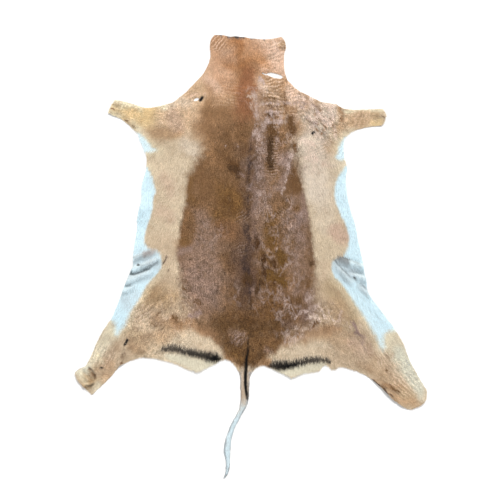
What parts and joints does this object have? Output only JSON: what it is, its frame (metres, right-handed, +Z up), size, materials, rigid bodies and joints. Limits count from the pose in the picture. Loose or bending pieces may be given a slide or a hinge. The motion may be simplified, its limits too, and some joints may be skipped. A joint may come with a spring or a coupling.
{
  "type": "impala hide",
  "caption": "Flat tanned hide with its short coat on: neck, four splayed legs and a thin tail in one piece, with small holes and lifted folds.",
  "frame": {"origin": "on the floor under the middle of the hide's bounding box, tail included", "axes": "+Z up from the floor to the coat, +Y from the tail to the neck, +X to the right as seen from above with the neck away"},
  "size_m": [0.9478, 1.1958, 0.0123],
  "materials": {
    "hide": "short-haired coat, satin along the hair"
  },
  "bodies": {
    "root": {"hide": "hide"}
  },
  "joints": []
}
